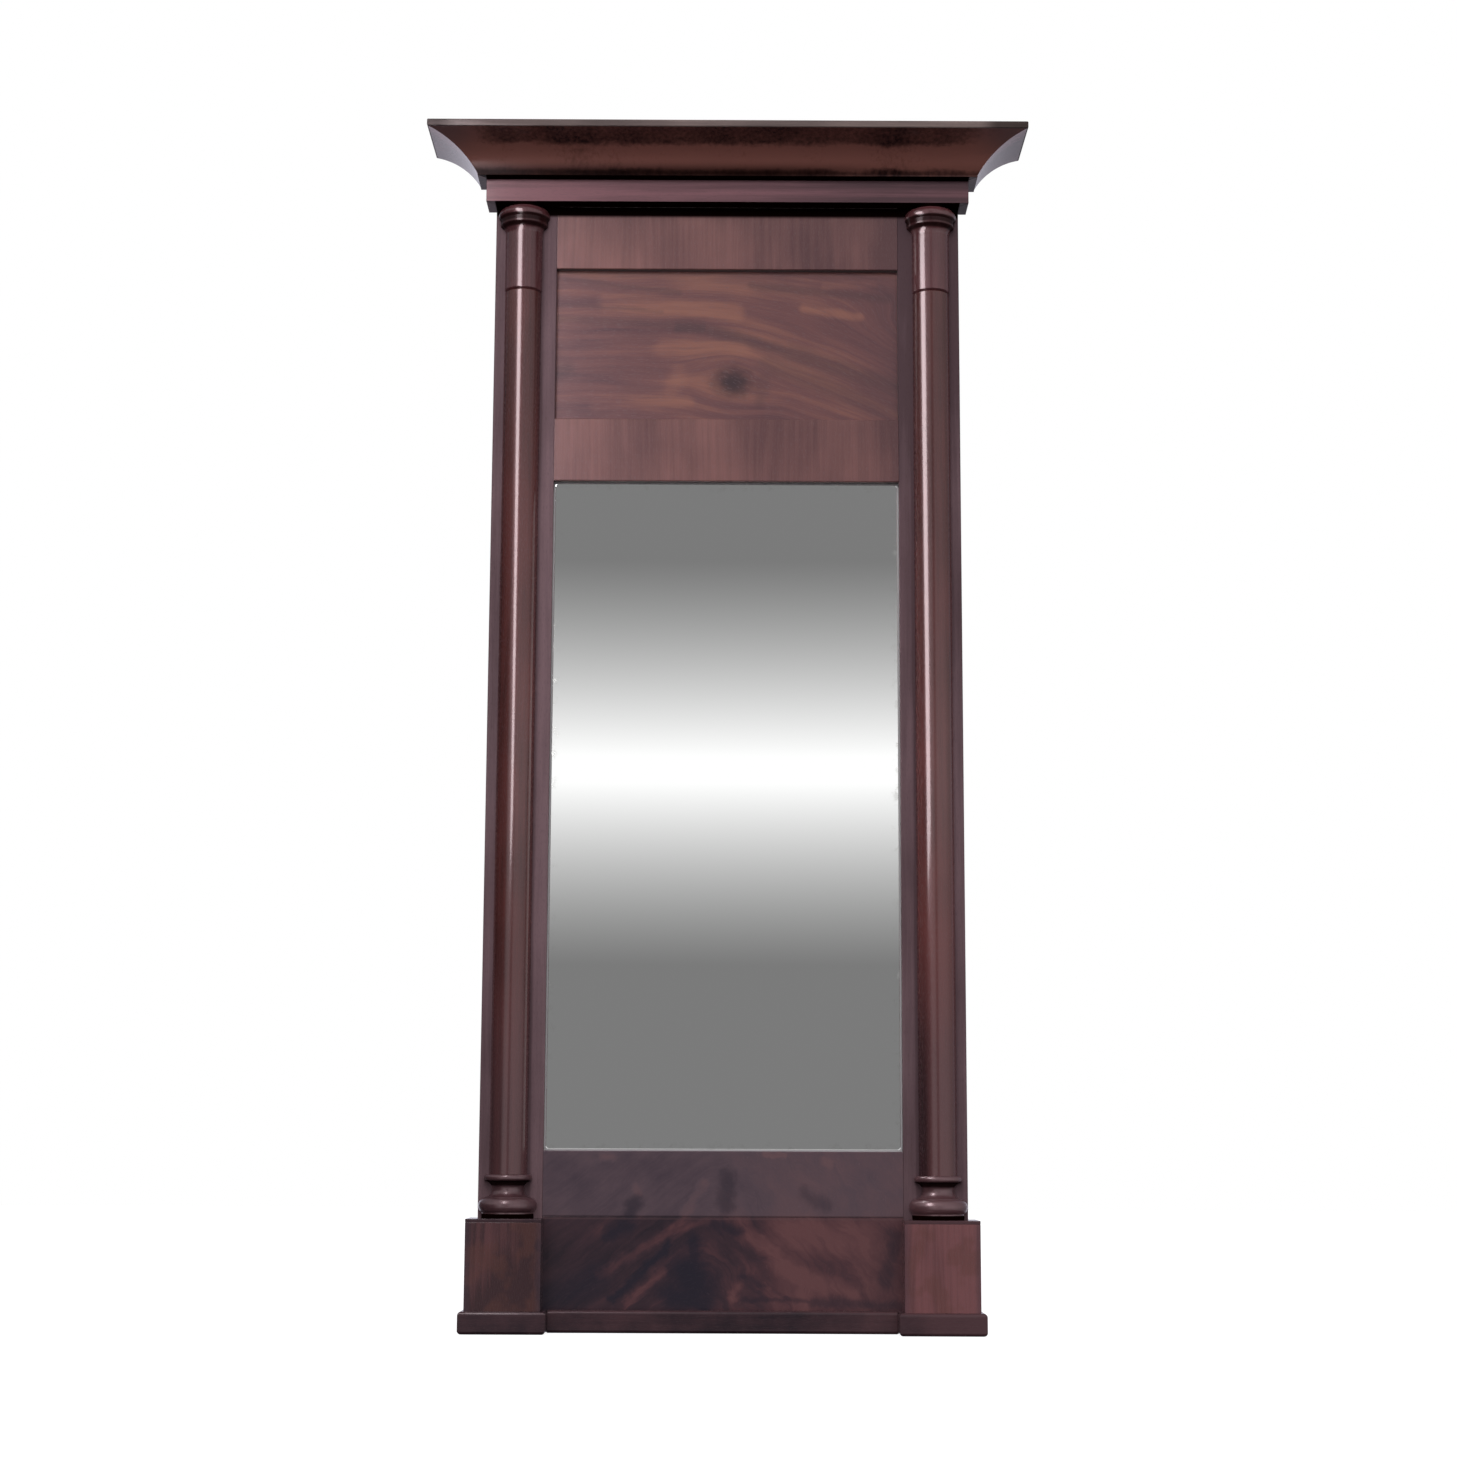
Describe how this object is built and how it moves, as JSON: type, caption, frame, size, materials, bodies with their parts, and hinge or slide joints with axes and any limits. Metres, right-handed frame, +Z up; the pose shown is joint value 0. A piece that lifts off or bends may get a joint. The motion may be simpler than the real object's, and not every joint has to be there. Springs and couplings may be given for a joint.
{
  "type": "pier mirror",
  "caption": "Tall pier mirror with half columns on plinths, a coved cornice with mitred returns, a sunk tablet and a bevelled glass in a veneered frame.",
  "frame": {"origin": "on the floor, under the middle of the whole object's box", "axes": "+X to the viewer's right, -Y towards the viewer, +Y towards the wall, +Z up"},
  "size_m": [0.733, 0.1084, 1.45],
  "materials": {
    "mahogany": "figured mahogany veneer and solid mahogany, French polished",
    "dark_mahogany": "darker solid mahogany mouldings, French polished",
    "flame_mahogany": "crotch mahogany veneer, French polished",
    "pine": "unfinished softwood, darkened with age",
    "mirror_glass": "silvered plate glass with a bevelled edge",
    "iron": "blackened wrought iron"
  },
  "bodies": {
    "root": {"stile_left": "pine", "stile_right": "pine", "bottom_rail": "pine", "apron_rail": "pine", "mid_rail": "pine", "frieze_rail": "pine", "head_rail": "pine", "frame_pegs": "pine", "stile_veneer_left": "mahogany", "stile_veneer_right": "mahogany", "plinth_panel_veneer": "flame_mahogany", "apron_veneer": "flame_mahogany", "mid_rail_veneer": "mahogany", "frieze_veneer": "mahogany", "tablet_panel": "pine", "tablet_veneer": "mahogany", "mirror_glass": "mirror_glass", "glass_packing": "pine", "backboard_left": "pine", "backboard_middle": "pine", "backboard_right": "pine", "backboard_tablet": "pine", "backboard_nails": "iron", "architrave_front": "mahogany", "architrave_left": "mahogany", "architrave_right": "mahogany", "cornice_cove_front": "dark_mahogany", "cornice_cove_left": "dark_mahogany", "cornice_cove_right": "dark_mahogany", "cornice_fillet_front": "mahogany", "cornice_fillet_left": "mahogany", "cornice_fillet_right": "mahogany", "cornice_top_board": "pine", "cornice_blocks": "pine", "capital_left": "mahogany", "capital_right": "mahogany", "shaft_left": "mahogany", "shaft_right": "mahogany", "column_base_left": "dark_mahogany", "column_base_right": "dark_mahogany", "column_screws": "iron", "plinth_front_left": "mahogany", "plinth_front_right": "mahogany", "plinth_outer_left": "mahogany", "plinth_outer_right": "mahogany", "plinth_inner_left": "mahogany", "plinth_inner_right": "mahogany", "plinth_cap_left": "dark_mahogany", "plinth_cap_right": "dark_mahogany", "plinth_cores": "pine", "base_front_left": "dark_mahogany", "base_front_right": "dark_mahogany", "base_outer_left": "dark_mahogany", "base_outer_right": "dark_mahogany", "base_inner_left": "dark_mahogany", "base_inner_right": "dark_mahogany", "base_middle": "dark_mahogany", "hanging_plates": "iron", "hanging_screws": "iron"}
  },
  "joints": []
}
